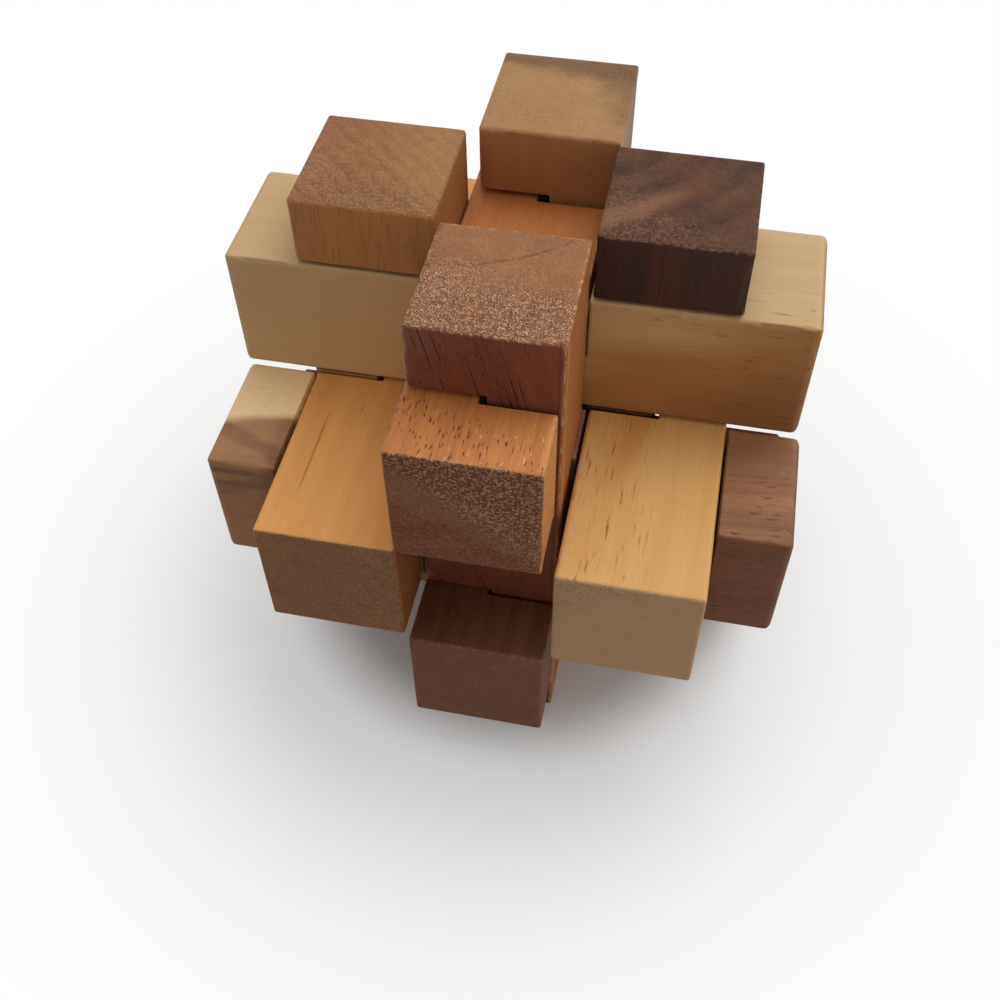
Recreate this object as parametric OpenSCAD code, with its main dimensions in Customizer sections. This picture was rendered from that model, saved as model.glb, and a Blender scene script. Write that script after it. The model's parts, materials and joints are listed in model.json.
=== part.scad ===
// A burr puzzle: twelve like bars of mixed woods, notched to lock four to each axis.
// X runs to the right, Y to the back and Z up, and the puzzle stands on its uprights' feet.

/* [Bar] */
// Width and thickness of the square bar
bar_w = 19.4; // [12:0.1:26]
// Full square stretch at each end of a bar, past its outer notch
end_len = 10; // [4:0.5:30]
// Radius that eases the long edges of a bar
edge_r = 0.6; // [0.2:0.1:2]
// Radius that eases the edges round the two ends of a bar
end_r = 0.5; // [0.2:0.1:2]

/* [Fit] */
// Side play of a bar in the notch that it crosses, both sides together
play = 0.6; // [0.3:0.05:0.8]
// Gap between the two halves of a lap
lap_gap = 0.3; // [0.2:0.05:0.6]

/* [Hidden] */
$fn = 48;

// Centre line to centre line of neighbouring bars, which is also the width of a notch
pitch = bar_w + play;
// A bar spans three notches side by side and its two square ends
bar_len = 3 * pitch + 2 * end_len;
// Each bar of a lap gives up half its thickness and half the gap
notch_deep = (bar_w + lap_gap) / 2;
// How far a bar can be pushed to one side of its notch
slack = play / 2;
// How far a cutter stands out of the wood
over = 1;
// Settling of bars in their notches along X, Y and Z, in shares of the slack, one bar leaning
// on the next: the uprights left, right, front and back
UPRIGHT_SETTLE = [[-0.7, 0, 0], [-1, 0, 0], [0, 0, 0], [2.1, 0, 0]];
// The crossbars top, bottom, front and back
CROSSBAR_SETTLE = [[-1.3, -0.4, -0.4], [-0.8, 0, 0], [0.8, 0.8, 0.8], [1.3, 0, 0]];
// The through bars top, bottom, left and right
THROUGH_SETTLE = [[-2.1, -0.4, -0.8], [0, -0.4, 0], [0.7, 0.4, 0.4], [1, 0.4, 0.4]];

// Turns that bring a bar from along Z, outer notches to +X and middle notch to +Y
UPRIGHT_AT_SIDE = [0, 0, -90];
UPRIGHT_IN_LINE = [0, 180, 0];
CROSSBAR_IN_LINE = [90, 0, 90];
CROSSBAR_AT_SIDE = [180, -90, 0];
THROUGH_IN_LINE = [-90, 0, 0];
THROUGH_AT_SIDE = [90, 90, 180];

OAK_BROWN = [0.65, 0.43, 0.24];
DARK_WALNUT = [0.29, 0.18, 0.13];
ROSY_BROWN = [0.55, 0.35, 0.22];
PALE_TAN = [0.73, 0.54, 0.35];
PALE_PINE = [0.79, 0.65, 0.46];
DEEP_BROWN = [0.45, 0.28, 0.17];
STRIPED_BROWN = [0.54, 0.36, 0.24];
WARM_BROWN = [0.56, 0.36, 0.23];
RED_MAHOGANY = [0.72, 0.44, 0.25];
RED_BROWN = [0.48, 0.30, 0.20];
HONEY = [0.85, 0.60, 0.33];
STREAKED_PINE = [0.84, 0.64, 0.40];

// A rectangle centred on the origin, with its corners rounded
module eased_rectangle(a, b, r) {
    union() {
        square([a, b - 2 * r], center = true);
        square([a - 2 * r, b], center = true);
        for (x = [-1, 1], y = [-1, 1])
            translate([x * (a / 2 - r), y * (b / 2 - r)])
                circle(r);
    }
}

// The squared bar before it is notched, along Z, with every edge eased
module blank() {
    intersection() {
        linear_extrude(bar_len, center = true)
            eased_rectangle(bar_w, bar_w, edge_r);
        rotate([90, 0, 0])
            linear_extrude(bar_w, center = true)
                eased_rectangle(bar_w, bar_len, end_r);
        rotate([90, 0, 90])
            linear_extrude(bar_w, center = true)
                eased_rectangle(bar_w, bar_len, end_r);
    }
}

// What one notch takes out of a bar: it opens to +X and is centred on the bar's length
module notch_cut() {
    translate([bar_w / 2 - notch_deep, -bar_w / 2 - over, -pitch / 2])
        cube([notch_deep + over, bar_w + 2 * over, pitch]);
}

// One bar, along Z: the outer notches open to +X and the middle one to +Y
module notched_bar() {
    difference() {
        blank();
        for (side = [-1, 1])
            translate([0, 0, side * pitch])
                notch_cut();
        rotate([0, 0, 90])
            notch_cut();
    }
}

// Puts a bar at its cell of the lattice, settled by its shares of the slack
module place(cell, turn, settle) {
    translate([0, 0, bar_len / 2])
        translate(pitch * cell + slack * settle)
            rotate(turn)
                notched_bar();
}

module upright_left() {
    color(OAK_BROWN)
        place([-1, 0, 0], UPRIGHT_AT_SIDE, UPRIGHT_SETTLE[0]);
}

module upright_right() {
    color(DARK_WALNUT)
        place([1, 0, 0], UPRIGHT_AT_SIDE, UPRIGHT_SETTLE[1]);
}

module upright_front() {
    color(ROSY_BROWN)
        place([0, -1, 0], UPRIGHT_IN_LINE, UPRIGHT_SETTLE[2]);
}

module upright_back() {
    color(PALE_TAN)
        place([0, 1, 0], UPRIGHT_IN_LINE, UPRIGHT_SETTLE[3]);
}

module crossbar_top() {
    color(PALE_PINE)
        place([0, 0, 1], CROSSBAR_IN_LINE, CROSSBAR_SETTLE[0]);
}

module crossbar_bottom() {
    color(DEEP_BROWN)
        place([0, 0, -1], CROSSBAR_IN_LINE, CROSSBAR_SETTLE[1]);
}

module crossbar_front() {
    color(STRIPED_BROWN)
        place([0, -1, 0], CROSSBAR_AT_SIDE, CROSSBAR_SETTLE[2]);
}

module crossbar_back() {
    color(WARM_BROWN)
        place([0, 1, 0], CROSSBAR_AT_SIDE, CROSSBAR_SETTLE[3]);
}

module through_bar_top() {
    color(RED_MAHOGANY)
        place([0, 0, 1], THROUGH_IN_LINE, THROUGH_SETTLE[0]);
}

module through_bar_bottom() {
    color(RED_BROWN)
        place([0, 0, -1], THROUGH_IN_LINE, THROUGH_SETTLE[1]);
}

module through_bar_left() {
    color(HONEY)
        place([-1, 0, 0], THROUGH_AT_SIDE, THROUGH_SETTLE[2]);
}

module through_bar_right() {
    color(STREAKED_PINE)
        place([1, 0, 0], THROUGH_AT_SIDE, THROUGH_SETTLE[3]);
}

upright_left();
upright_right();
upright_front();
upright_back();
crossbar_top();
crossbar_bottom();
crossbar_front();
crossbar_back();
through_bar_top();
through_bar_bottom();
through_bar_left();
through_bar_right();
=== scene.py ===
"""The looks of a burr puzzle: twelve notched bars of mixed woods, in a plain soft studio."""

import json
import logging
import math
from collections.abc import Callable
from dataclasses import dataclass, field
from enum import Enum

import bpy
from mathutils import Matrix, Quaternion, Vector

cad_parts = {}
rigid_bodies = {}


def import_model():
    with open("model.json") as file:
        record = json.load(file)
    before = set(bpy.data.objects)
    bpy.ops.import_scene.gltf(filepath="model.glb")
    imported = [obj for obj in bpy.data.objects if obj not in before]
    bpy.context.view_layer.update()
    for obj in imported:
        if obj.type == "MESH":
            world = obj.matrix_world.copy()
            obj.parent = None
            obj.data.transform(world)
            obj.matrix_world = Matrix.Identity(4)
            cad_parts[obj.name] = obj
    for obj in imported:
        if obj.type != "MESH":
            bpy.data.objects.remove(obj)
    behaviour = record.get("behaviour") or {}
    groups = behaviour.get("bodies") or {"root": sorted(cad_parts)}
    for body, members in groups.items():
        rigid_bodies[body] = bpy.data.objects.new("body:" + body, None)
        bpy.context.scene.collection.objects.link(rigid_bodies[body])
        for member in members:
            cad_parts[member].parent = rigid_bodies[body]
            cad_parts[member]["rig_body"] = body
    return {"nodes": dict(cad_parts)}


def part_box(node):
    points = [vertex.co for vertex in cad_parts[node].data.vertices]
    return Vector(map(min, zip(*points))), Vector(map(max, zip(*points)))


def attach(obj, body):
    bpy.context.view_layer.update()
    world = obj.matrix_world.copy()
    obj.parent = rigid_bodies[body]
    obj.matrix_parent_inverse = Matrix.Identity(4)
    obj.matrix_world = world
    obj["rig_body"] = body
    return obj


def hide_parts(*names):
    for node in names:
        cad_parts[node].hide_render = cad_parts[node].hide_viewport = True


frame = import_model()

LOG = logging.getLogger("burr_puzzle")
MM = 0.001

# How far from an edge wear and chips reach, how high the fibres stand and how deep a chip is, in mm
EDGE_REACH = 0.5
FIBRE_HEIGHT = 0.06
CHIP_DEPTH = 0.1
# How much rougher than a sanded side the ends and the pores are, and how far the fibres vary it
END_ROUGHER = 0.14
PORE_ROUGHER = 0.15
FIBRE_ROUGHER = 0.25
# A distance along a bar that lies past its end, in millimetres
PAST_BAR = 90.0
# What the lamps face, in metres
PUZZLE_MIDDLE = (0.0, 0.0, 0.04)
WHITE = (1.0, 1.0, 1.0, 1.0)

Socket = bpy.types.NodeSocket
Triple = tuple[float, float, float]
Colour = tuple[float, float, float, float]


def srgb(red: int, green: int, blue: int) -> Colour:
    """Turns a colour as a paint chart gives it into the linear one that a shader takes.

    Args:
        red: Red, from 0 to 255.
        green: Green, from 0 to 255.
        blue: Blue, from 0 to 255.

    Returns:
        The linear colour, opaque.
    """
    parts = [part / 255 for part in (red, green, blue)]
    linear = [part / 12.92 if part <= 0.04045 else ((part + 0.055) / 1.055) ** 2.4 for part in parts]
    return (linear[0], linear[1], linear[2], 1.0)


# What a chip lays bare, what the floor looks like, and what it lights the puzzle like
BARE_WOOD = srgb(226, 184, 144)
PAPER = srgb(250, 249, 247)
TABLE = srgb(150, 128, 108)


def by(operation: str) -> Callable[..., "Value"]:
    """Makes the method that puts a value first into a Math node of that operation."""
    return lambda value, *others: value.graph.math(operation, value, *others)


class Value:
    """A number on its way through a node tree, which takes part in plain maths."""

    def __init__(self, graph: "Graph", socket: Socket) -> None:
        """Keeps the socket, and the graph that takes the Math nodes."""
        self.graph = graph
        self.socket = socket

    # Least and most take one of two values, past_whole keeps what follows the whole number
    __add__ = __radd__ = by("ADD")
    __sub__ = by("SUBTRACT")
    __mul__ = __rmul__ = by("MULTIPLY")
    __truediv__ = by("DIVIDE")
    __pow__ = by("POWER")
    __abs__ = by("ABSOLUTE")
    root = by("SQRT")
    least = by("MINIMUM")
    most = by("MAXIMUM")
    past_whole = by("FRACT")
    next_whole = by("CEIL")

    def __rsub__(self, other: float) -> "Value":
        """Subtracts from a plain number."""
        return self.graph.math("SUBTRACT", other, self)

    def __neg__(self) -> "Value":
        """Turns the sign round."""
        return self * -1.0

    def rise(self, low: float, high: float) -> "Value":
        """Goes smoothly from 0 at low to 1 at high.

        Args:
            low: Where the rise starts.
            high: Where it ends, which may lie below low for a fall.

        Returns:
            A value from 0 to 1.
        """
        if low > high:
            return 1.0 - self.rise(high, low)
        node = self.graph.node(
            "ShaderNodeMapRange",
            {"interpolation_type": "SMOOTHSTEP"},
            {"Value": self, "From Min": low, "From Max": high},
        )
        return self.graph.value(node.outputs["Result"])


Number = Value | float
Source = Number | Socket | tuple


class Graph:
    """Adds nodes to one tree, whether it makes a material or a shape."""

    def __init__(self, tree: bpy.types.NodeTree) -> None:
        """Keeps the tree."""
        self.tree = tree

    def node(self, kind: str, settings: dict | None = None, inputs: dict | None = None) -> bpy.types.Node:
        """Adds any node.

        Args:
            kind: Blender's name of the node's type.
            settings: The node's own properties, which are set before its sockets.
            inputs: What goes into its sockets, by the socket's name or number.

        Returns:
            The new node.
        """
        made = self.tree.nodes.new(kind)
        for name, value in (settings or {}).items():
            setattr(made, name, value)
        for key, source in (inputs or {}).items():
            self.feed(made.inputs[key], source)
        return made

    def feed(self, socket: Socket, source: Source) -> None:
        """Links a value or a socket to a socket, or sets it to a plain number.

        Args:
            socket: The input that takes it.
            source: What it takes.
        """
        if isinstance(source, Value):
            self.tree.links.new(source.socket, socket)
        elif isinstance(source, Socket):
            self.tree.links.new(source, socket)
        else:
            socket.default_value = source

    def value(self, socket: Socket) -> Value:
        """Wraps a socket for maths."""
        return Value(self, socket)

    def math(self, operation: str, *operands: Number) -> Value:
        """Adds a Math node.

        Args:
            operation: Blender's name of the operation.
            operands: Its values, in order.

        Returns:
            Its result.
        """
        made = self.node("ShaderNodeMath", {"operation": operation}, dict(enumerate(operands)))
        return self.value(made.outputs[0])

    def vector(self, operation: str, *operands: Source) -> Socket:
        """Adds a Vector Math node of that operation, and takes its vector."""
        made = self.node("ShaderNodeVectorMath", {"operation": operation}, dict(enumerate(operands)))
        return made.outputs["Vector"]

    def dot(self, first: Source, second: Source) -> Value:
        """Works out how far one vector reaches along another."""
        made = self.node("ShaderNodeVectorMath", {"operation": "DOT_PRODUCT"}, {0: first, 1: second})
        return self.value(made.outputs["Value"])

    def split(self, vector: Socket) -> tuple[Value, Value, Value]:
        """Takes a vector apart.

        Args:
            vector: The vector's socket.

        Returns:
            Its x, y and z.
        """
        x, y, z = self.node("ShaderNodeSeparateXYZ", inputs={"Vector": vector}).outputs
        return self.value(x), self.value(y), self.value(z)

    def join(self, x: Number, y: Number, z: Number) -> Socket:
        """Puts a vector together."""
        return self.node("ShaderNodeCombineXYZ", inputs={"X": x, "Y": y, "Z": z}).outputs[0]

    def noise(self, place: Socket, detail: float = 2.0, roughness: float = 0.5) -> Value:
        """Samples noise of about one lump to a unit.

        Args:
            place: Where it is sampled.
            detail: How many finer layers it has.
            roughness: How strong the finer layers are.

        Returns:
            Noise from 0 to 1, about 0.5.
        """
        made = self.node(
            "ShaderNodeTexNoise",
            {"noise_dimensions": "3D", "normalize": True},
            {"Vector": place, "Scale": 1.0, "Detail": detail, "Roughness": roughness},
        )
        return self.value(made.outputs[0])

    def mix(self, first: Source, second: Source, amount: Number) -> Socket:
        """Mixes two colours.

        Args:
            first: The colour at an amount of 0.
            second: The colour at an amount of 1.
            amount: How much of the second, from 0 to 1.

        Returns:
            The mixed colour.
        """
        made = self.node("ShaderNodeMix", {"data_type": "RGBA"}, {0: amount, 6: first, 7: second})
        return made.outputs[2]


def bare_tree(owner: bpy.types.Material | bpy.types.World) -> bpy.types.NodeTree:
    """Empties the node tree of a material or a world.

    Args:
        owner: The material or the world.

    Returns:
        Its tree.
    """
    owner.use_nodes = True
    owner.node_tree.nodes.clear()
    return owner.node_tree


def past_edge(off_x: Value, off_y: Value, off_end: Value) -> Value:
    """Takes the middle one of three distances past faces, which is 0 on an edge and less inside."""
    return off_x.least(off_y).most(off_x.most(off_y).least(off_end))


class Turned(Enum):
    """A way to lie, given as the turn in degrees that brings a bar there from along Z."""

    @property
    def turn(self) -> Triple:
        """The turn in radians."""
        return tuple(math.radians(angle) for angle in self.value)


class Lie(Turned):
    """How a bar lies, if its outer notches face +X and its middle one +Y before the turn."""

    UPRIGHT_AT_SIDE = (0, 0, -90)
    UPRIGHT_IN_LINE = (0, 180, 0)
    CROSSBAR_IN_LINE = (90, 0, 90)
    CROSSBAR_AT_SIDE = (180, -90, 0)
    THROUGH_IN_LINE = (-90, 0, 0)
    THROUGH_AT_SIDE = (90, 90, 180)


class Grain(Turned):
    """Which way the grain of a bar runs."""

    UP = (0, 0, 0)
    ACROSS = (0, 90, 0)
    THROUGH = (-90, 0, 0)

    @property
    def axis(self) -> Triple:
        """The direction of the grain in the puzzle's own axes."""
        return {"UP": (0, 0, 1), "ACROSS": (1, 0, 0), "THROUGH": (0, 1, 0)}[self.name]


@dataclass(frozen=True)
class BarShape:
    """What every bar of the puzzle measures, in millimetres, as the frame gives it.

    Attributes:
        width: Width and thickness of the square bar.
        length: Length over both ends.
        pitch: Width of a notch, which is also the spacing of neighbouring bars.
        lap_gap: Gap between the two halves of a lap.
    """

    width: float
    length: float
    pitch: float
    lap_gap: float = 0.3

    @property
    def notch_deep(self) -> float:
        """Half the thickness and half the gap, which each bar of a lap gives up."""
        return (self.width + self.lap_gap) / 2

    @classmethod
    def from_frame(cls) -> "BarShape":
        """Reads the sizes off the front and back uprights of the frame.

        Returns:
            The shape that all twelve bars share.
        """
        low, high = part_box("upright_front")
        far_low, far_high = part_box("upright_back")
        spacing = ((far_low + far_high) - (low + high)) / 4
        return cls(width=(high.x - low.x) / MM, length=(high.z - low.z) / MM, pitch=spacing.y / MM)


@dataclass(frozen=True)
class Ease:
    """How softly a bar's edges are sanded and worn, in millimetres.

    Attributes:
        long_edge: Radius along the bar.
        end_edge: Radius round its two ends.
        notch_edge: Radius of the notches' edges.
        wear: The most that handling has taken off an edge.
    """

    long_edge: float = 0.45
    end_edge: float = 0.45
    notch_edge: float = 0.08
    wear: float = 0.12


CRISP = Ease(long_edge=0.25, end_edge=0.2, wear=0.08)
SANDED = Ease()
BLUNT = Ease(long_edge=0.22, end_edge=1.1, wear=0.09)


@dataclass
class NotchedBarForm(Graph):
    """Geometry nodes that carve one notched bar out of a block, as a distance that becomes a mesh.

    Attributes:
        voxel: Spacing of the grid that the bar is carved on, in millimetres.
        merging: How far the mesh may merge cells as it is made.
        flatness: How far neighbouring faces may turn, in degrees, and still be joined as one flat face.
        margin: Empty grid left round the bar, in millimetres.
        sanded_off: Skin taken off the whole bar, so that it stays inside its solid.
        tree: The node tree.
        given: Its inputs by name.
    """

    voxel: float = 0.25
    merging: float = 0.002
    flatness: float = 0.6
    margin: float = 1.0
    sanded_off: float = 0.015
    tree: bpy.types.NodeTree | None = field(default=None, init=False)
    given: dict[str, Value] = field(default_factory=dict, init=False)

    def build(self) -> None:
        """Makes the tree once, with a named input for each size."""
        self.tree = bpy.data.node_groups.new("notched_bar", "GeometryNodeTree")
        face = self.tree.interface
        sizes = ("Width", "Length", "Pitch", "Notch Depth", "Long Edge", "End Edge", "Notch Edge")
        kinds = {"Float": (*sizes, "Wear", "Seed"), "Vector": ("Turn", "Spot"), "Material": ("Material",)}
        for kind, names in kinds.items():
            for name in names:
                face.new_socket(name=name, in_out="INPUT", socket_type=f"NodeSocket{kind}")
        face.new_socket(name="Geometry", in_out="OUTPUT", socket_type="NodeSocketGeometry")
        sockets = self.node("NodeGroupInput").outputs
        self.given = {socket.name: self.value(socket) for socket in sockets if socket.name}
        self.node("NodeGroupOutput", inputs={"Geometry": self.mesh(self.distance())})

    def rounded(self, first: Value, second: Value, radius: Number) -> Value:
        """Joins two distances into that of what lies inside both, with its edge rounded.

        Args:
            first: Distance to the first surface, below 0 inside.
            second: Distance to the second surface.
            radius: Radius of the edge where they meet.

        Returns:
            The joint distance.
        """
        past_first = first + radius
        past_second = second + radius
        corner = (past_first.most(0.0) ** 2 + past_second.most(0.0) ** 2).root()
        return corner + past_first.most(past_second).least(0.0) - radius

    def distance(self) -> Value:
        """Works out the distance to the bar's surface, in millimetres, below 0 in the wood.

        Returns:
            The distance at each point of the grid.
        """
        given = self.given
        place = self.node("GeometryNodeInputPosition").outputs[0]
        x, y, z = self.split(place)
        off_x = abs(x) - given["Width"] * 0.5
        off_y = abs(y) - given["Width"] * 0.5
        off_end = abs(z) - given["Length"] * 0.5
        blank = self.rounded(off_x, off_y, given["Long Edge"])
        blank = self.rounded(blank, off_end, given["End Edge"])
        floor = given["Width"] * 0.5 - given["Notch Depth"]
        half_notch = given["Pitch"] * 0.5
        beside_outer = half_notch - abs(abs(z) - given["Pitch"])
        beside_middle = half_notch - abs(z)
        bar = self.rounded(blank, (x - floor).least(beside_outer), given["Notch Edge"])
        bar = self.rounded(bar, (y - floor).least(beside_middle), given["Notch Edge"])
        return bar + self.worn(place, (off_x, off_y, off_end)) + self.sanded_off

    def worn(self, place: Socket, off: tuple[Value, Value, Value]) -> Value:
        """Works out how much handling has taken off near the edges, more in some spots than others.

        Args:
            place: The point's place in the bar.
            off: Its distances to the bar's sides and ends, below 0 inside.

        Returns:
            The depth that is gone, in millimetres.
        """
        along = self.node("ShaderNodeVectorMath", {"operation": "SCALE"}, {0: place, "Scale": 0.22})
        seed = self.given["Seed"]
        shift = self.join(seed, seed * 1.7, seed * 2.3)
        patchy = self.noise(self.vector("ADD", along.outputs[0], shift), detail=4.0, roughness=0.6)
        return self.given["Wear"] * past_edge(*off).rise(-EDGE_REACH, 0.0) * patchy.rise(0.35, 0.75)

    def mesh(self, distance: Value) -> Socket:
        """Turns the distance into a mesh in metres, at the bar's place.

        Args:
            distance: The distance to the bar's surface.

        Returns:
            The finished geometry.
        """
        given = self.given
        half_width = given["Width"] * 0.5 + self.margin
        half_length = given["Length"] * 0.5 + self.margin
        across = (half_width * (2 / self.voxel)).next_whole()
        along = (half_length * (2 / self.voxel)).next_whole()
        block = self.node(
            "GeometryNodeVolumeCube",
            inputs={
                "Density": self.margin - distance,
                "Min": self.join(-half_width, -half_width, -half_length),
                "Max": self.join(half_width, half_width, half_length),
                "Resolution X": across,
                "Resolution Y": across,
                "Resolution Z": along,
            },
        )
        skin = self.node(
            "GeometryNodeVolumeToMesh",
            {"resolution_mode": "GRID"},
            {"Volume": block.outputs[0], "Threshold": self.margin, "Adaptivity": self.merging},
        )
        turn = self.node("FunctionNodeEulerToRotation", inputs={0: given["Turn"]}).outputs[0]
        steps = {
            "GeometryNodeSetShadeSmooth": {},
            "GeometryNodeTransform": {"Translation": given["Spot"], "Rotation": turn, "Scale": (MM, MM, MM)},
            "GeometryNodeRealizeInstances": {},
            "GeometryNodeSetMaterial": {"Material": given["Material"]},
        }
        geometry = skin.outputs[0]
        for kind, inputs in steps.items():
            geometry = self.node(kind, inputs={"Geometry": geometry, **inputs}).outputs[0]
        return geometry

    def carve(self, name: str, inputs: dict[str, object]) -> bpy.types.Object:
        """Runs the tree for one bar and keeps the result as a plain mesh.

        Args:
            name: The piece's name.
            inputs: What goes into the tree, by the input's name.

        Returns:
            The piece, at the origin, with its place in its mesh.
        """
        base = bpy.data.objects.new(name, bpy.data.meshes.new(name))
        bpy.context.scene.collection.objects.link(base)
        modifier = base.modifiers.new("notched_bar", "NODES")
        modifier.node_group = self.tree
        for item in self.tree.interface.items_tree:
            if item.in_out == "INPUT":
                modifier[item.identifier] = inputs[item.name]
        join = base.modifiers.new("flat_faces_join", "DECIMATE")
        join.decimate_type = "DISSOLVE"
        join.angle_limit = math.radians(self.flatness)
        weigh = base.modifiers.new("flat_faces_lead", "WEIGHTED_NORMAL")
        weigh.mode = "FACE_AREA"
        weigh.weight = 100
        evaluated = base.evaluated_get(bpy.context.evaluated_depsgraph_get())
        mesh = bpy.data.meshes.new_from_object(evaluated)
        base.modifiers.clear()
        base.data = mesh
        return base


@dataclass(frozen=True)
class Region:
    """A part of a bar, on one side of a plane or between two.

    Attributes:
        toward: Direction that it lies in, in the puzzle's own axes.
        start: Where it starts that way, in millimetres from the bar's middle.
        softness: How long the change takes, in millimetres.
        stop: Where it ends again, in millimetres from the bar's middle.
    """

    toward: Triple
    start: float
    softness: float
    stop: float = PAST_BAR


@dataclass(frozen=True)
class Rings:
    """Growth rings, which run round the middle of the tree.

    Attributes:
        pith: Middle of the tree in the bar's section, in millimetres from the bar's own middle.
        lean: Drift of the grain to either side, for each millimetre along the bar.
        spacing: Width of one ring, in millimetres.
        contrast: How much darker the late wood of a ring is on the sides.
        end_contrast: How much darker it is on the end grain.
        line: How strongly a thin dark line closes each ring on the end grain.
        wave: How far a ring wanders, in millimetres.
    """

    pith: tuple[float, float] = (28.0, 14.0)
    lean: tuple[float, float] = (0.02, 0.01)
    spacing: float = 2.4
    contrast: float = 0.3
    end_contrast: float = 0.15
    line: float = 0.0
    wave: float = 1.2


@dataclass(frozen=True)
class Dashes:
    """A pattern of dashes along the grain.

    Attributes:
        spacing: From dash to dash across the grain, in millimetres.
        run: From dash to dash along the grain, in millimetres.
        size: Radius of a dash, as a share of those distances.
        colour: Colour of a dash.
        strength: How strongly that colour shows.
        gathering: How far the dashes keep to bands, from 0 to 1.
        region: Where the dashes gather, if not in bands of their own.
    """

    spacing: float = 0.5
    run: float = 5.0
    size: float = 0.22
    colour: Colour = srgb(70, 42, 26)
    strength: float = 0.4
    gathering: float = 0.5
    region: Region | None = None


@dataclass(frozen=True)
class Pores(Dashes):
    """Open pores: fine dashes along the grain, and dots on the end grain.

    Attributes:
        depth: How deep a pore is, in millimetres.
        rim_highlight: How strongly the torn rims of pores on the end grain are painted light, a painted
            highlight for the light they catch; half of it sets the painted shade between them.
        rim_highlight_colour: Colour of that painted highlight on the torn rims.
        squash: How much lower than wide the pores are on the end grain.
        side: How much of their strength is left on the sides.
    """

    depth: float = 0.05
    rim_highlight: float = 0.15
    rim_highlight_colour: Colour = srgb(214, 172, 132)
    squash: float = 1.0
    side: float = 1.0


@dataclass(frozen=True)
class Flecks(Dashes):
    """Scattered flecks of resin or mineral.

    Attributes:
        sharpness: How crisp their outline is, from 0 to 1.
    """

    sharpness: float = 0.3


@dataclass(frozen=True)
class Band:
    """A region of another colour: a real one such as sapwood, and on some bars painted light and shade.

    Attributes:
        region: Where it lies.
        colour: Its colour.
        strength: How strongly it shows.
        within: A second region that it also keeps to.
    """

    region: Region
    colour: Colour
    strength: float = 1.0
    within: Region | None = None


@dataclass(frozen=True)
class Wood:
    """The finish of one bar.

    Attributes:
        sides: Colours of the early and of the late wood on the sides.
        ends: The same on the end grain.
        rings: Its growth rings.
        pores: Its pores.
        flecks: Its kinds of flecks.
        bands: Parts of another colour, among them painted light and shade.
        streak: How strongly the long fibres show.
        blotch: How much the colour wanders over the bar.
        roughness: Roughness of the sanded side.
        fuzz: Height of the torn fibres on the end grain, in millimetres.
        chips: How strongly small chips show along the edges.
    """

    sides: tuple[Colour, Colour]
    ends: tuple[Colour, Colour]
    rings: Rings = Rings()
    pores: Pores = Pores()
    flecks: tuple[Flecks, ...] = ()
    bands: tuple[Band, ...] = ()
    streak: float = 0.6
    blotch: float = 0.5
    roughness: float = 0.55
    fuzz: float = 0.05
    chips: float = 0.15


class Salt(float, Enum):
    """Numbers that keep a wood's patterns apart. A second pattern of one kind adds 1 to its number."""

    RINGS = 1.0
    FINE_FIBRES = 2.0
    BROAD_FIBRES = 3.0
    BLOTCHES = 4.0
    PORES = 5.0
    PORE_BANDS = 6.0
    FLECKS = 7.0
    FLECK_BANDS = 8.0
    TORN_FIBRES = 9.0
    BANDS = 10.0
    CHIPS = 12.0
    RING_LINES = 13.0
    BAND_LIMITS = 20.0


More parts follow.
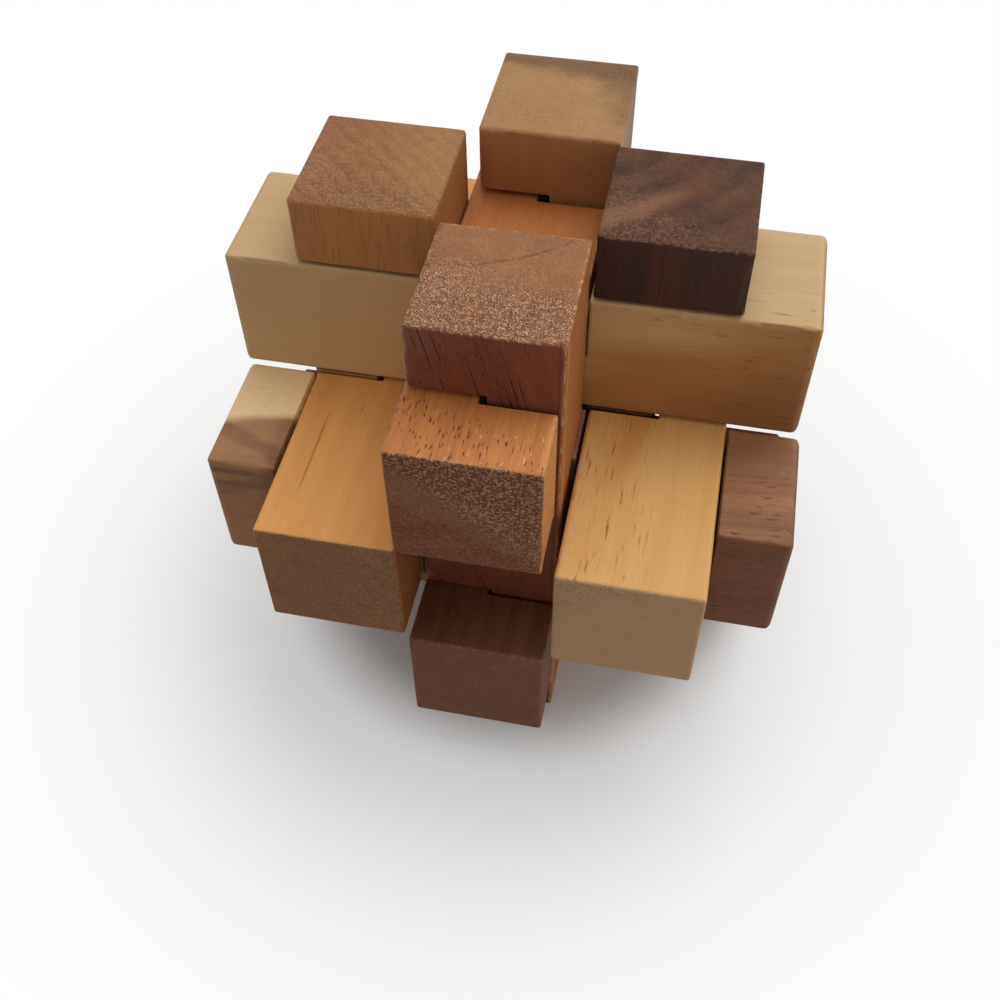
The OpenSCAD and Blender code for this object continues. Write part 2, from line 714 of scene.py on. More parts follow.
class WoodShader(Graph):
    """Paints one bar with its wood, in millimetres measured from the bar's own middle."""

    def __init__(self, bar: "Bar", shape: BarShape, grain: Grain) -> None:
        """Starts the bar's material with what its patterns share.

        Args:
            bar: The bar, with its wood.
            shape: What the bar measures.
            grain: Which way the bar runs.
        """
        self.material = bpy.data.materials.new(f"{bar.slot}_finish")
        super().__init__(bare_tree(self.material))
        self.wood = bar.wood
        self.spot = bar.spot
        self.seed = bar.seed
        self.shape = shape
        self.coordinates = self.node("ShaderNodeTexCoord")
        self.local = self.from_middle(grain.turn)
        self.grown = self.along_grain()
        facing = self.dot(self.coordinates.outputs["Normal"], grain.axis)
        self.ends = abs(facing).rise(0.45, 0.85)
        self.cut = self.ends.rise(0.49, 0.51)
        self.fibre = self.fibres()
        self.torn = self.noise(self.at(2.2, 2.2, Salt.TORN_FIBRES), 2.0, 0.6)
        self.beads = self.torn.rise(0.3, 0.5) * 0.6 + 0.4
        self.face = self.on_face()

    def from_middle(self, turn: Triple) -> Socket:
        """Measures from the bar's middle, in millimetres, in turned axes.

        Args:
            turn: Turn of the axes, in radians.

        Returns:
            The place as a vector.
        """
        settings = {"vector_type": "TEXTURE"}
        inputs = {
            "Vector": self.coordinates.outputs["Object"],
            "Location": tuple(self.spot),
            "Rotation": turn,
            "Scale": (MM, MM, MM),
        }
        return self.node("ShaderNodeMapping", settings, inputs).outputs[0]

    def along_grain(self) -> Socket:
        """Leans the bar's own axes with the grain.

        Returns:
            The place in the wood.
        """
        x, y, z = self.split(self.local)
        lean_x, lean_y = self.wood.rings.lean
        return self.join(x - z * lean_x, y - z * lean_y, z)

    def at(self, across: float, along: float, salt: float) -> Socket:
        """Scales the place in the wood for a pattern.

        Args:
            across: Lumps to a millimetre across the grain.
            along: Lumps to a millimetre along the grain.
            salt: Keeps one pattern apart from the next.

        Returns:
            Where to sample the pattern.
        """
        shift = self.seed * 17.3 + salt * 5.7
        shifts = (shift, shift * 0.7, shift * 1.3)
        return self.vector("MULTIPLY_ADD", self.grown, (across, across, along), shifts)

    def on_face(self) -> Socket:
        """Lays the wood out flat, with the grain along Y on the sides and none on the ends.

        Returns:
            The place on the face, in millimetres.
        """
        x, y, z = self.split(self.grown)
        side = self.join(x + y, z, 0.0)
        end = self.join(x, y * self.wood.pores.squash, 0.0)
        faces = {0: self.cut, 4: side, 5: end}
        return self.node("ShaderNodeMix", {"data_type": "VECTOR"}, faces).outputs[1]

    def ring_phase(self) -> Value:
        """Works out how far through its growth ring the wood is.

        Returns:
            0 where the ring starts and 1 where it ends.
        """
        rings = self.wood.rings
        x, y, _ = self.split(self.grown)
        from_x = x - rings.pith[0]
        from_y = y - rings.pith[1]
        wander = (self.noise(self.at(0.07, 0.012, Salt.RINGS), 3.0) - 0.5) * (2 * rings.wave)
        count = ((from_x * from_x + from_y * from_y).root() + wander) / rings.spacing
        return count.past_whole()

    def fibres(self) -> Value:
        """Works out the long streaks of the fibres.

        Returns:
            Their darkness, from 0 to 1.
        """
        fine = self.noise(self.at(2.4, 0.045, Salt.FINE_FIBRES), 4.0, 0.65)
        broad = self.noise(self.at(0.55, 0.012, Salt.BROAD_FIBRES), 3.0, 0.55)
        return fine * 0.55 + broad * 0.45

    def cells(self, across: float, along: Number, salt: float) -> tuple[Value, Value]:
        """Fills each face with long cells.

        Args:
            across: From cell to cell across the grain, in millimetres.
            along: From cell to cell along the grain, in millimetres.
            salt: Keeps one pattern apart from the next.

        Returns:
            Distance to the middle of the nearest cell, in cells, and that cell's own number, 0 to 1.
        """
        shift = self.seed * 11.9 + salt * 3.7
        u, v, _ = self.split(self.face)
        place = self.join(u / across + shift, v / along + shift * 0.7, 0.0)
        ruffle = self.node(
            "ShaderNodeTexNoise",
            {"noise_dimensions": "2D", "normalize": False},
            {"Vector": place, "Scale": 1.7, "Detail": 1.0},
        )
        ruffled = self.vector("MULTIPLY_ADD", ruffle.outputs["Color"], (0.22, 0.22, 0.0), place)
        made = self.node(
            "ShaderNodeTexVoronoi",
            {"voronoi_dimensions": "2D", "feature": "F1"},
            {"Vector": ruffled, "Scale": 1.0, "Randomness": 0.85},
        )
        own = self.node("ShaderNodeSeparateColor", inputs={0: made.outputs["Color"]})
        return self.value(made.outputs["Distance"]), self.value(own.outputs[0])

    def gathered(self, dashes: Dashes, salt: float) -> Value:
        """Works out where a pattern gathers.

        Args:
            dashes: The pattern.
            salt: Keeps one pattern apart from the next.

        Returns:
            The pattern's strength, from 0 to 1.
        """
        if dashes.region is not None:
            where = self.region_share(dashes.region, salt)
        else:
            where = self.noise(self.at(0.2, 0.02, salt), 2.0).rise(0.42, 0.6)
        return where * dashes.gathering + (1 - dashes.gathering)

    def edge_share(self) -> Value:
        """Works out how near an outer edge of the bar is.

        Returns:
            0 away from one and 1 on it.
        """
        x, y, z = self.split(self.local)
        off_x = abs(x) - self.shape.width / 2
        off_y = abs(y) - self.shape.width / 2
        off_end = abs(z) - self.shape.length / 2
        return past_edge(off_x, off_y, off_end).rise(-EDGE_REACH, -0.1)

    def region_share(self, region: Region, salt: float) -> Value:
        """Works out where a region lies.

        Args:
            region: The region.
            salt: Keeps one pattern apart from the next.

        Returns:
            0 outside it and 1 inside.
        """
        toward = tuple(Vector(region.toward).normalized())
        reach = self.dot(self.from_middle((0.0, 0.0, 0.0)), toward)
        wander = (self.noise(self.at(0.16, 0.03, salt), 3.0) - 0.5) * (region.softness * 1.5)
        off = reach + wander
        half = region.softness / 2
        share = off.rise(region.start - half, region.start + half)
        if region.stop < PAST_BAR:
            share = share * off.rise(region.stop + half, region.stop - half)
        return share

    def plain(self) -> Socket:
        """Mixes the colour of the plain wood: its rings, its fibres and its bands.

        Returns:
            The colour.
        """
        wood = self.wood
        phase = self.ring_phase()
        late = phase.rise(0.2, 0.88) * phase.rise(1.0, 0.92)
        line = phase.rise(0.95, 0.97) * phase.rise(1.0, 0.98) * self.ends * wood.rings.line
        line = line * self.noise(self.at(1.1, 1.1, Salt.RING_LINES), 3.0, 0.7).rise(0.38, 0.55)
        blotch = self.noise(self.at(0.12, 0.03, Salt.BLOTCHES), 3.0, 0.6)
        contrast = self.ends * (wood.rings.end_contrast - wood.rings.contrast) + wood.rings.contrast
        tone = (late - 0.4) * contrast + (self.fibre - 0.5) * wood.streak * 2
        tone = tone + (blotch - 0.5) * wood.blotch * 2 + 0.5
        side = self.mix(*wood.sides, tone)
        end = self.mix(*wood.ends, tone)
        colour = self.mix(self.mix(side, end, self.ends), wood.pores.colour, line)
        for index, band in enumerate(wood.bands):
            share = self.region_share(band.region, Salt.BANDS + index) * band.strength
            if band.within is not None:
                share = share * self.region_share(band.within, Salt.BAND_LIMITS + index)
            colour = self.mix(colour, band.colour, share)
        return colour

    def with_pores(self, colour: Socket) -> tuple[Socket, Value, Value]:
        """Adds the pores.

        Args:
            colour: The plain wood.

        Returns:
            The colour, which carries a painted highlight on the torn rims and painted shade between them;
            where a pore is open; and where the torn rims stand up on the end grain, the same place as the
            painted highlight.
        """
        pores = self.wood.pores
        along = (1.0 - self.cut) * (pores.run - pores.spacing) + pores.spacing
        near, own = self.cells(pores.spacing, along, Salt.PORES)
        crowd = self.gathered(pores, Salt.PORE_BANDS)
        hole = near.rise(pores.size, pores.size * 0.6) * own.rise(0.15, 0.35) * crowd * self.beads
        hole = hole * (self.ends * (1.0 - pores.side) + pores.side)
        # Painted highlight: the torn rims round the pores on the end grain are painted a light colour,
        # standing in for the light they catch; the same rims are also raised in the bump.
        rim_highlight = near.rise(0.14, 0.22) * near.rise(0.52, 0.4) * self.torn.rise(0.38, 0.5)
        rim_highlight = rim_highlight * own.rise(0.05, 0.25) * crowd * self.ends
        # Painted shade: the gaps between the torn rims on the end grain are darkened with the pore colour,
        # standing in for the shade between them.
        gap = near.rise(0.5, 0.62) * crowd * self.ends * (pores.rim_highlight * 0.5)
        colour = self.mix(colour, pores.rim_highlight_colour, rim_highlight * pores.rim_highlight)
        colour = self.mix(colour, pores.colour, gap)
        return self.mix(colour, pores.colour, hole * pores.strength), hole, rim_highlight

    def with_flecks(self, colour: Socket) -> Socket:
        """Adds the flecks, which show on the sides only.

        Args:
            colour: The wood with its pores.

        Returns:
            The colour.
        """
        sides = self.ends.rise(0.6, 0.4)
        for index, flecks in enumerate(self.wood.flecks):
            near, own = self.cells(flecks.spacing, flecks.run, Salt.FLECKS + index)
            share = near.rise(flecks.size, flecks.size * flecks.sharpness) * own.rise(0.2, 0.6)
            share = share * self.gathered(flecks, Salt.FLECK_BANDS + index) * self.beads
            colour = self.mix(colour, flecks.colour, share * sides * flecks.strength)
        return colour

    def paint(self) -> bpy.types.Material:
        """Puts the whole finish together.

        Returns:
            The material.
        """
        wood = self.wood
        ends = self.ends
        colour, hole, rim_highlight = self.with_pores(self.plain())
        chipped = self.noise(self.at(1.3, 0.4, Salt.CHIPS), 3.0, 0.6)
        chip = self.edge_share() * chipped.rise(0.5, 0.6) * wood.chips
        colour = self.mix(self.with_flecks(colour), BARE_WOOD, chip)
        height = (self.fibre - 0.5) * FIBRE_HEIGHT - hole * wood.pores.depth
        height = height + (self.torn - 0.5) * ends * (wood.fuzz * 2.4)
        height = height + rim_highlight * wood.fuzz - chip * CHIP_DEPTH
        roughness = ends * END_ROUGHER + hole * PORE_ROUGHER + (self.fibre - 0.5) * FIBRE_ROUGHER
        roughness = roughness + wood.roughness
        bump = self.node("ShaderNodeBump", inputs={"Strength": 1.0, "Distance": MM, "Height": height})
        surface = self.node(
            "ShaderNodeBsdfPrincipled",
            inputs={
                "Base Color": colour,
                "Roughness": roughness,
                "Normal": bump.outputs[0],
                "Specular IOR Level": 0.3,
            },
        )
        self.node("ShaderNodeOutputMaterial", inputs={"Surface": surface.outputs[0]})
        return self.material


@dataclass
class Bar:
    """One bar of the puzzle.

    Attributes:
        node: The name of its solid, which is also that of its record.
        slot: The record's material slot.
        lie: Which way its notches face.
        wood: Its finish.
        ease: How its edges are worn.
        seed: A number that no other bar has.
        piece: The finished object.
    """

    node: str
    slot: str
    lie: Lie
    wood: Wood
    ease: Ease
    seed: float
    piece: bpy.types.Object | None = None

    @property
    def spot(self) -> Vector:
        """The bar's middle, in metres, as its solid gives it."""
        low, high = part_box(self.node)
        return (low + high) / 2

    def build(self, shape: BarShape, form: NotchedBarForm) -> None:
        """Carves the bar.

        Args:
            shape: What the bar measures.
            form: What carves it.
        """
        inputs = {
            "Width": shape.width,
            "Length": shape.length,
            "Pitch": shape.pitch,
            "Notch Depth": shape.notch_deep,
            "Long Edge": self.ease.long_edge,
            "End Edge": self.ease.end_edge,
            "Notch Edge": self.ease.notch_edge,
            "Wear": self.ease.wear,
            "Seed": self.seed,
            "Turn": self.lie.turn,
            "Spot": tuple(self.spot),
            "Material": bpy.data.materials.new(f"{self.node}_blank"),
        }
        self.piece = form.carve(f"{self.node}_bar", inputs)

    def dress(self, shape: BarShape, grain: Grain) -> None:
        """Gives the bar its wood and its place on its body.

        Args:
            shape: What the bar measures.
            grain: Which way its grain runs.
        """
        self.piece.data.materials.clear()
        self.piece.data.materials.append(WoodShader(self, shape, grain).paint())
        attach(self.piece, frame["nodes"][self.node]["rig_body"])
        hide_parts(self.node)


# Directions in the puzzle's own axes, and the parts of bars that more than one pattern keeps to
LEFT = (-1.0, 0.0, 0.0)
RIGHT = (1.0, 0.0, 0.0)
FRONT = (0.0, -1.0, 0.0)
BACK = (0.0, 1.0, 0.0)
UP = (0.0, 0.0, 1.0)
FRONT_FACE = Region(FRONT, start=9.35, softness=0.3)
RIGHT_FACE = Region(RIGHT, start=9.35, softness=0.3)
FRONT_SKIN = Region(FRONT, start=9.3, softness=0.3)
RIGHT_SKIN = Region(RIGHT, start=9.3, softness=0.3)
LEFT_HALF = Region((-0.95, -0.3, 0.0), start=-2.0, softness=3.0)
LEFT_END = Region((-0.35, -0.94, 0.0), start=20.0, softness=3.0)

# The woods of the twelve bars
OAK_BROWN = Wood(
    sides=(srgb(182, 125, 75), srgb(152, 98, 54)), ends=(srgb(166, 114, 63), srgb(126, 78, 46)),
    rings=Rings(pith=(70.0, 74.0), spacing=2.3, contrast=0.15, end_contrast=0.36, wave=3.2),
    pores=Pores(
        run=9.0, size=0.2, strength=0.22, depth=0.03, rim_highlight=0.35,
        region=Region((-0.3, -0.95, 0.0), start=3.0, softness=6.0),
    ),
    bands=(
        Band(Region((0.8, 0.6, 0.0), start=3.0, softness=8.0), srgb(174, 128, 80), 0.45),
        Band(Region((-0.9, 0.4, 0.0), start=3.0, softness=9.0), srgb(150, 96, 66), 0.35),
        Band(RIGHT_FACE, srgb(140, 82, 44), 0.4),
        Band(FRONT_FACE, srgb(200, 142, 80), 0.45),
    ),
    streak=1.2, blotch=0.7, fuzz=0.08,
)
DARK_WALNUT = Wood(
    sides=(srgb(65, 30, 18), srgb(34, 16, 11)), ends=(srgb(100, 62, 37), srgb(53, 29, 18)),
    rings=Rings(pith=(-26.0, 30.0), spacing=5.2, contrast=0.1, end_contrast=0.32, wave=5.0),
    pores=Pores(
        run=9.0, size=0.2, colour=srgb(40, 24, 18), strength=0.25, gathering=0.85,
        region=Region((-0.55, -0.83, 0.0), start=3.5, softness=7.0), rim_highlight=0.5, rim_highlight_colour=srgb(160, 112, 88),
    ),
    bands=(
        Band(Region(RIGHT, start=-3.0, softness=3.0, stop=1.5), srgb(98, 52, 34), 0.3),
        Band(
            Region((0.55, -0.83, 0.0), start=-1.4, softness=1.8, stop=1.4), srgb(162, 114, 86), 0.5,
            within=Region(LEFT, start=1.0, softness=7.0),
        ),
    ),
    blotch=0.9, roughness=0.62,
)
ROSY_BROWN = Wood(
    sides=(srgb(146, 82, 56), srgb(104, 54, 35)), ends=(srgb(168, 113, 71), srgb(133, 85, 54)),
    rings=Rings(
        pith=(-1.1, 27.8), lean=(-0.26, 0.02), spacing=13.8, contrast=0.15, end_contrast=0.12, line=0.5,
    ),
    pores=Pores(
        spacing=0.54, run=9.0, size=0.28, colour=srgb(62, 32, 20), strength=0.8, depth=0.1, gathering=0.92,
        region=Region((-0.1, -1.0, 0.0), start=0.5, softness=9.0), rim_highlight=0.9, rim_highlight_colour=srgb(222, 174, 140),
        side=0.15,
    ),
    flecks=(
        Flecks(
            spacing=0.66, run=24.0, size=0.17, colour=srgb(34, 14, 11), strength=1.0, sharpness=0.6,
            gathering=0.94, region=LEFT_HALF,
        ),
        Flecks(run=2.4, size=0.2, colour=srgb(38, 17, 13), strength=0.95, gathering=0.94, region=LEFT_HALF),
    ),
    bands=(
        Band(Region(FRONT, start=9.2, softness=0.5), srgb(124, 62, 42), 0.35),
        Band(RIGHT_SKIN, srgb(170, 107, 59), 0.85),
        Band(Region(FRONT, start=7.9, softness=0.3, stop=8.5), srgb(226, 172, 122), 0.6, within=RIGHT_SKIN),
        Band(Region(RIGHT, start=8.8, softness=0.2, stop=9.1), srgb(58, 27, 16), 0.5, within=FRONT_SKIN),
    ),
    streak=0.8, fuzz=0.1, chips=0.6,
)
PALE_TAN = Wood(
    sides=(srgb(202, 151, 101), srgb(168, 117, 72)), ends=(srgb(180, 138, 92), srgb(156, 114, 72)),
    rings=Rings(pith=(-40.0, 10.0), spacing=3.4, contrast=0.15, end_contrast=0.06),
    pores=Pores(strength=0.1, depth=0.02, rim_highlight=0.0),
    bands=(
        Band(Region((0.1, 1.0, 0.0), start=5.8, softness=3.5), srgb(112, 80, 56), 0.85),
        Band(Region((0.9, 0.45, 0.0), start=7.0, softness=6.0), srgb(118, 84, 56), 0.7),
        Band(Region(FRONT, start=9.3, softness=0.5), srgb(176, 116, 70), 0.4),
    ),
    streak=0.35, blotch=0.3, fuzz=0.03,
)
PALE_PINE = Wood(
    sides=(srgb(212, 181, 137), srgb(196, 157, 104)), ends=(srgb(192, 156, 111), srgb(166, 128, 85)),
    rings=Rings(pith=(60.0, 20.0), lean=(0.0, 0.01), spacing=1.6, contrast=0.08),
    pores=Pores(run=8.0, strength=0.0, depth=0.02, rim_highlight=0.0),
    flecks=(
        Flecks(
            spacing=1.2, run=6.5, size=0.17, colour=srgb(122, 74, 38), strength=0.6, sharpness=0.1,
            gathering=0.97, region=Region((0.28, -0.92, 0.25), start=15.0, softness=3.0),
        ),
    ),
    bands=(
        # Painted light: the front face and its top edge are made paler, standing in for more light falling
        # on that face.
        Band(Region(FRONT, start=9.3, softness=0.4), srgb(228, 194, 142), 0.3),
        Band(
            Region((0.4, -0.5, -0.77), start=9.0, softness=10.0), srgb(170, 112, 57), 0.8,
            within=FRONT_FACE,
        ),
        Band(Region((0.45, -0.1, -0.9), start=17.0, softness=12.0), srgb(142, 94, 56), 0.7),
    ),
    streak=0.4, blotch=0.2,
)
DEEP_BROWN = Wood(
    sides=(srgb(132, 84, 50), srgb(96, 57, 32)), ends=(srgb(122, 80, 50), srgb(88, 55, 34)),
    pores=Pores(spacing=0.55),
)
STRIPED_BROWN = Wood(
    sides=(srgb(168, 118, 80), srgb(118, 74, 50)), ends=(srgb(145, 101, 67), srgb(106, 68, 43)),
    rings=Rings(pith=(30.0, 18.0), lean=(0.0, 0.09), spacing=2.9, contrast=0.14, wave=2.0),
    pores=Pores(run=3.0, strength=0.12, depth=0.03, rim_highlight=0.2),
    flecks=(
        Flecks(
            spacing=0.9, run=3.4, size=0.3, colour=srgb(84, 48, 32), strength=0.75, sharpness=0.15,
            gathering=0.95, region=Region((0.5, -0.85, 0.15), start=18.5, softness=4.0),
        ),
    ),
    bands=(
        Band(FRONT_FACE, srgb(88, 54, 36), 0.35),
        Band(FRONT_FACE, srgb(100, 40, 14), 0.45, within=Region(RIGHT, start=0.0, softness=12.0)),
        Band(Region(LEFT, start=32.0, softness=3.0), srgb(196, 146, 102), 0.45),
        # Partly the wood's own cream at the back of the top, partly painted light: made paler to stand
        # against the shadow that the top crossbar casts there.
        Band(Region((-0.22, 0.9, 0.0), start=7.8, softness=2.0), srgb(252, 216, 162)),
        Band(Region((-0.3, -0.7, 0.65), start=19.6, softness=1.0, stop=21.4), srgb(92, 58, 40), 0.4),
        Band(Region(UP, start=7.4, softness=0.6, stop=8.4), srgb(74, 46, 34), 0.6, within=LEFT_END),
        Band(Region(UP, start=4.9, softness=0.6, stop=5.6), srgb(78, 50, 36), 0.5, within=LEFT_END),
    ),
    streak=0.65, blotch=0.7,
)
WARM_BROWN = Wood(
    sides=(srgb(164, 110, 69), srgb(120, 76, 45)), ends=(srgb(150, 103, 66), srgb(112, 72, 45)),
    pores=Pores(spacing=0.55),
)
RED_MAHOGANY = Wood(
    sides=(srgb(214, 139, 75), srgb(172, 101, 50)), ends=(srgb(147, 80, 46), srgb(102, 50, 31)),
    rings=Rings(pith=(6.0, 36.0), spacing=5.0, contrast=0.15, end_contrast=0.3),
    pores=Pores(
        run=1.9, size=0.24, colour=srgb(84, 38, 18), strength=0.95, depth=0.1, gathering=0.8,
        region=Region((0.6, 0.1, 0.8), start=-4.0, softness=5.0), rim_highlight=1.0, rim_highlight_colour=srgb(226, 180, 146),
        squash=1.3, side=0.1,
    ),
    flecks=(
        Flecks(
            run=2.3, size=0.25, colour=srgb(84, 36, 15), strength=0.95, sharpness=0.5, gathering=0.97,
            region=Region((-0.3, -0.95, 0.0), start=31.5, softness=3.0),
        ),
        Flecks(
            spacing=0.8, run=2.8, size=0.18, colour=srgb(236, 182, 130), strength=0.75, gathering=0.96,
            region=Region((0.5, -0.87, 0.0), start=31.0, softness=3.0),
        ),
    ),
    bands=(
        Band(Region((-0.4, -0.3, -0.87), start=9.5, softness=2.0, stop=15.0), srgb(150, 108, 70), 0.5),
        Band(RIGHT_FACE, srgb(226, 164, 108), 0.35),
        # Painted shade: darker from a little in front of the middle to the back end, on every face, standing
        # in for the shade in the recess behind the front upright.
        Band(Region(BACK, start=-12.0, softness=6.0), srgb(170, 96, 42), 0.35),
    ),
    streak=1.0, fuzz=0.16, chips=0.45,
)
RED_BROWN = Wood(
    sides=(srgb(130, 82, 56), srgb(98, 58, 38)), ends=(srgb(135, 86, 60), srgb(106, 65, 46)),
    pores=Pores(spacing=0.55),
)
HONEY = Wood(
    sides=(srgb(238, 174, 100), srgb(212, 144, 74)), ends=(srgb(154, 108, 72), srgb(122, 82, 54)),
    rings=Rings(pith=(36.0, -30.0), spacing=4.0, contrast=0.12),
    pores=Pores(
        run=8.0, strength=0.05, depth=0.02, rim_highlight=0.35, region=Region(RIGHT, start=2.0, softness=8.0),
    ),
    flecks=(
        Flecks(spacing=5.0, run=40.0, size=0.05, colour=srgb(142, 82, 36), strength=0.75, gathering=0.3),
        Flecks(spacing=2.4, run=16.0, size=0.06, colour=srgb(176, 112, 54), strength=0.5, gathering=0.6),
    ),
    bands=(
        # Painted shade: the right face is darkened, standing in for the shade that the bars above cast on
        # it.
        Band(RIGHT_FACE, srgb(128, 72, 44), 0.8),
        Band(
            Region(LEFT, start=5.45, softness=0.3, stop=5.75), srgb(140, 84, 40), 0.65,
            within=Region(FRONT, start=19.0, softness=6.0, stop=31.0),
        ),
    ),
    streak=0.45,
)
STREAKED_PINE = Wood(
    sides=(srgb(230, 184, 116), srgb(212, 154, 84)), ends=(srgb(214, 178, 140), srgb(186, 148, 110)),
    rings=Rings(pith=(50.0, 30.0), spacing=3.6, contrast=0.1, end_contrast=0.05),
    pores=Pores(
        run=8.0, colour=srgb(110, 84, 52), strength=0.5, depth=0.02, gathering=0.95,
        region=Region((-0.55, 0.0, 0.83), start=6.0, softness=7.0), rim_highlight=0.2, side=0.0,
    ),
    flecks=(
        Flecks(
            spacing=0.85, run=9.0, size=0.19, colour=srgb(152, 90, 36), strength=0.9, sharpness=0.15,
            gathering=0.95, region=Region((-1.0, -0.05, 0.0), start=1.0, softness=5.0),
        ),
        Flecks(
            size=0.3, colour=srgb(178, 112, 52), strength=0.5, sharpness=0.1, gathering=0.95,
            region=Region((-1.0, -0.05, 0.0), start=0.0, softness=5.0),
        ),
    ),
    bands=(
        Band(
            Region((-1.0, 0.16, 0.0), start=-1.0, softness=3.0, stop=3.0), srgb(206, 134, 66), 0.6,
            within=Region(BACK, start=-22.0, softness=8.0, stop=32.0),
        ),
    ),
    streak=0.5, blotch=0.35,
)


@dataclass
class BarsOfOneAxis:
    """The four bars that lie along one axis.

    Attributes:
        shape: What a bar measures.
        form: What carves a bar.
        grain: Which way the bars lie.
        bars: The bars.
    """

    shape: BarShape
    form: NotchedBarForm
    grain: Grain = Grain.UP
    bars: tuple[Bar, ...] = ()

    def build(self) -> None:
        """Carves the four bars."""
        for bar in self.bars:
            bar.build(self.shape, self.form)

    def dress(self) -> None:
        """Gives the four bars their woods, and reports each."""
        for bar in self.bars:
            bar.dress(self.shape, self.grain)
            LOG.info("%s: %d faces of %s", bar.piece.name, len(bar.piece.data.polygons), bar.slot)


@dataclass
class Uprights(BarsOfOneAxis):
    """The four bars that stand, and that the puzzle stands on."""

    grain: Grain = Grain.UP
    bars: tuple[Bar, ...] = (
        Bar("upright_left", "oak_brown_wood", Lie.UPRIGHT_AT_SIDE, OAK_BROWN, SANDED, 1.0),
        Bar("upright_right", "dark_walnut_wood", Lie.UPRIGHT_AT_SIDE, DARK_WALNUT, CRISP, 2.0),
        Bar("upright_front", "rosy_brown_wood", Lie.UPRIGHT_IN_LINE, ROSY_BROWN, CRISP, 3.0),
        Bar("upright_back", "pale_tan_wood", Lie.UPRIGHT_IN_LINE, PALE_TAN, CRISP, 4.0),
    )


@dataclass
class Crossbars(BarsOfOneAxis):
    """The four bars from left to right."""

    grain: Grain = Grain.ACROSS
    bars: tuple[Bar, ...] = (
        Bar("crossbar_top", "pale_pine_wood", Lie.CROSSBAR_IN_LINE, PALE_PINE, BLUNT, 5.0),
        Bar("crossbar_bottom", "deep_brown_wood", Lie.CROSSBAR_IN_LINE, DEEP_BROWN, SANDED, 6.0),
        Bar("crossbar_front", "striped_brown_wood", Lie.CROSSBAR_AT_SIDE, STRIPED_BROWN, BLUNT, 7.0),
        Bar("crossbar_back", "warm_brown_wood", Lie.CROSSBAR_AT_SIDE, WARM_BROWN, SANDED, 8.0),
    )


@dataclass
class ThroughBars(BarsOfOneAxis):
    """The four bars from front to back."""

    grain: Grain = Grain.THROUGH
    bars: tuple[Bar, ...] = (
        Bar("through_bar_top", "red_mahogany_wood", Lie.THROUGH_IN_LINE, RED_MAHOGANY, CRISP, 9.0),
        Bar("through_bar_bottom", "red_brown_wood", Lie.THROUGH_IN_LINE, RED_BROWN, SANDED, 10.0),
        Bar("through_bar_left", "honey_wood", Lie.THROUGH_AT_SIDE, HONEY, SANDED, 11.0),
        Bar("through_bar_right", "streaked_pine_wood", Lie.THROUGH_AT_SIDE, STREAKED_PINE, SANDED, 12.0),
    )


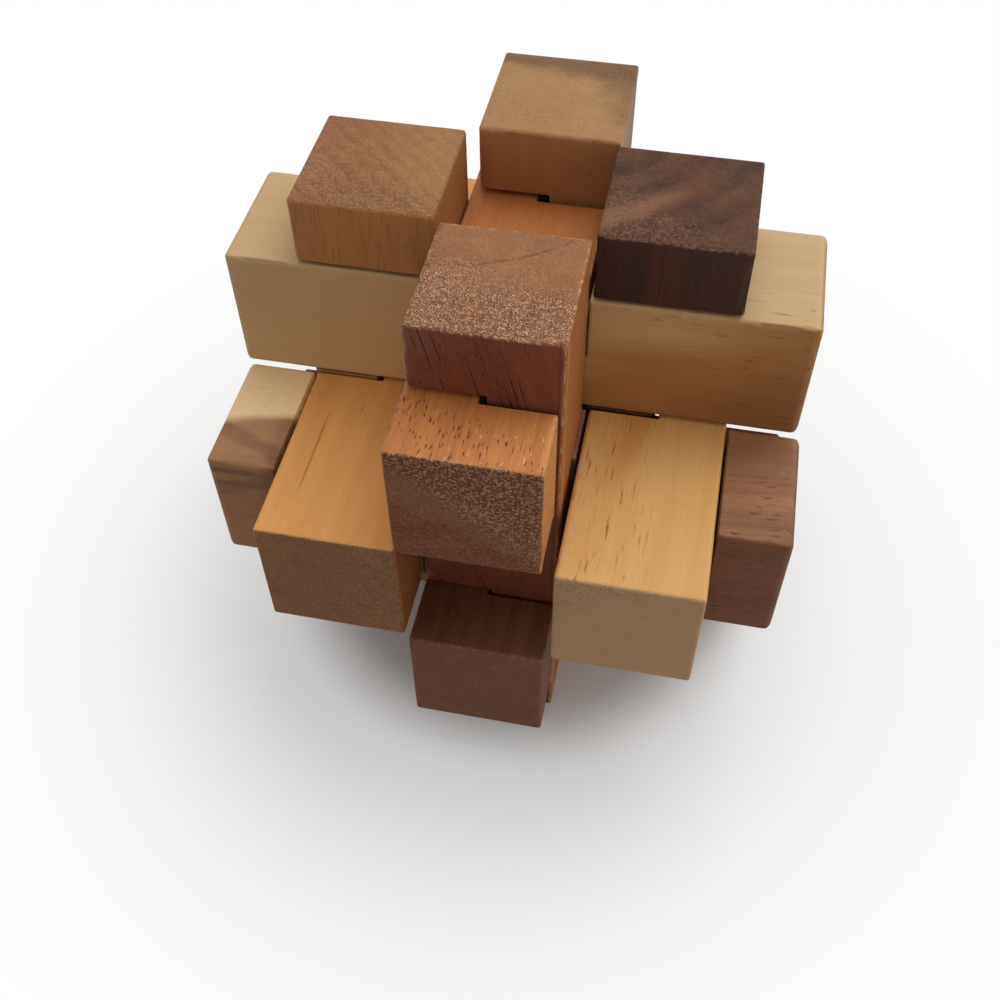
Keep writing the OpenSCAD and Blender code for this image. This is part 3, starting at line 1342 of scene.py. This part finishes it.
@dataclass
class Studio:
    """The floor, the lamps, the sky and the camera.

    Attributes:
        eye: Where the camera stands, in metres.
        aim: What the middle of the picture shows.
        roll: How far the camera is turned on its own axis, in degrees.
        lens: Focal length, in millimetres, on the sensor below.
        sensor: Width of the sensor, in millimetres.
        floor_side: Side of the floor, in metres.
        fade: Where the floor starts and ends its fade to white, in metres from the middle.
        glow: How much of the shadow is lifted to white nearer the puzzle, from 0 to 1.
        glow_fade: Where that lift starts and ends.
        sky: Strength of the sky as a light.
        key_power: Power of the lamp above and behind, in watts.
        side_power: Power of the lamp on the right, in watts.
    """

    eye: Triple = (0.0224153, -0.1277602, 0.1736333)
    aim: Triple = (-0.0001752, -0.0208648, 0.04)
    roll: float = -0.76
    lens: float = 43.264
    sensor: float = 36.0
    floor_side: float = 6.0
    fade: tuple[float, float] = (0.04, 0.11)
    glow: float = 0.4
    glow_fade: tuple[float, float] = (0.03, 0.045)
    sky: float = 0.42
    key_power: float = 2.2
    side_power: float = 0.5

    def stand(
        self, name: str, data: bpy.types.ID, place: Triple, aim: Triple, roll: float = 0.0
    ) -> bpy.types.Object:
        """Stands a camera or a lamp so that it faces a point.

        Args:
            name: Its name.
            data: The camera or the lamp.
            place: Where it stands, in metres.
            aim: What it faces, in metres.
            roll: How far it is turned on its own axis, in degrees.

        Returns:
            Its object.
        """
        made = bpy.data.objects.new(name, data)
        look = (Vector(aim) - Vector(place)).to_track_quat("-Z", "Y")
        turn = look @ Quaternion((0, 0, 1), math.radians(roll))
        made.matrix_world = Matrix.Translation(place) @ turn.to_matrix().to_4x4()
        bpy.context.scene.collection.objects.link(made)
        return made

    def camera(self) -> None:
        """Sets up the camera at the photograph's angle."""
        data = bpy.data.cameras.new("camera")
        data.sensor_width = self.sensor
        data.lens = self.lens
        data.clip_start = 0.01
        bpy.context.scene.camera = self.stand("camera", data, self.eye, self.aim, self.roll)

    def lamp(self, name: str, place: Triple, size: float, power: float, tint: Triple) -> None:
        """Hangs a square softbox that faces the puzzle.

        Args:
            name: The lamp's name.
            place: Where it hangs, in metres.
            size: Its side, in metres.
            power: Its power, in watts.
            tint: Its colour.
        """
        data = bpy.data.lights.new(name, "AREA")
        data.shape = "SQUARE"
        data.size = size
        data.energy = power
        data.color = tint
        self.stand(name, data, place, PUZZLE_MIDDLE)

    def shown(self, graph: Graph) -> Value:
        """Tells the rays that show a surface from those that only light others.

        Args:
            graph: The graph of the floor or the sky.

        Returns:
            1 for a ray of the camera or of a mirror or glass, else 0.
        """
        rays = graph.node("ShaderNodeLightPath").outputs
        seen = graph.value(rays["Is Camera Ray"]).most(graph.value(rays["Is Glossy Ray"]))
        return seen.most(graph.value(rays["Is Transmission Ray"]))

    def world(self) -> None:
        """Makes the sky: plain white to look at, and softer as a light."""
        world = bpy.data.worlds.new("studio")
        graph = Graph(bare_tree(world))
        strength = self.shown(graph) * (1.0 - self.sky) + self.sky
        light = graph.node("ShaderNodeBackground", inputs={"Color": WHITE, "Strength": strength})
        graph.node("ShaderNodeOutputWorld", inputs={"Surface": light.outputs[0]})
        bpy.context.scene.world = world

    def floor(self) -> None:
        """Lays a pale floor that keeps the shadow near the puzzle and fades to white further out."""
        half = self.floor_side / 2
        mesh = bpy.data.meshes.new("floor")
        corners = [(-half, -half, 0), (half, -half, 0), (half, half, 0), (-half, half, 0)]
        mesh.from_pydata(corners, [], [(0, 1, 2, 3)])
        floor = bpy.data.objects.new("floor", mesh)
        bpy.context.scene.collection.objects.link(floor)
        mesh.materials.append(self.paper())

    def paper(self) -> bpy.types.Material:
        """Makes the floor's paper, which looks white and lights the puzzle like a wooden table.

        Returns:
            The material.
        """
        material = bpy.data.materials.new("floor_paper")
        graph = Graph(bare_tree(material))
        paper = graph.node("ShaderNodeBsdfDiffuse", inputs={"Color": PAPER})
        table = graph.node("ShaderNodeBsdfDiffuse", inputs={"Color": TABLE})
        white = graph.node("ShaderNodeEmission", inputs={"Color": WHITE, "Strength": 1.0})
        x, y, _ = graph.split(graph.node("ShaderNodeTexCoord").outputs["Object"])
        off = (x * x + y * y).root()
        paler = off.rise(*self.fade) * (1.0 - self.glow) + off.rise(*self.glow_fade) * self.glow
        looks = {0: paler, 1: paper.outputs[0], 2: white.outputs[0]}
        seen = graph.node("ShaderNodeMixShader", inputs=looks)
        parts = {0: self.shown(graph), 1: table.outputs[0], 2: seen.outputs[0]}
        both = graph.node("ShaderNodeMixShader", inputs=parts)
        graph.node("ShaderNodeOutputMaterial", inputs={"Surface": both.outputs[0]})
        return material

    def build(self) -> None:
        """Sets up the whole studio."""
        bpy.context.scene.view_settings.view_transform = "Standard"
        self.camera()
        self.world()
        self.floor()
        self.lamp("key_lamp", (0.12, 0.2, 0.6), size=0.5, power=self.key_power, tint=WHITE[:3])
        self.lamp("side_lamp", (0.6, -0.1, 0.25), size=0.4, power=self.side_power, tint=(1.0, 0.93, 0.84))


def main() -> None:
    """Builds the studio and the puzzle, and logs how many faces each bar has."""
    logging.basicConfig(level=logging.INFO, format="%(name)s: %(message)s")
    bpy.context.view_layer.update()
    Studio().build()
    shape = BarShape.from_frame()
    form = NotchedBarForm()
    form.build()
    for group in (Uprights(shape, form), Crossbars(shape, form), ThroughBars(shape, form)):
        group.build()
        group.dress()


if __name__ == "__main__":
    main()
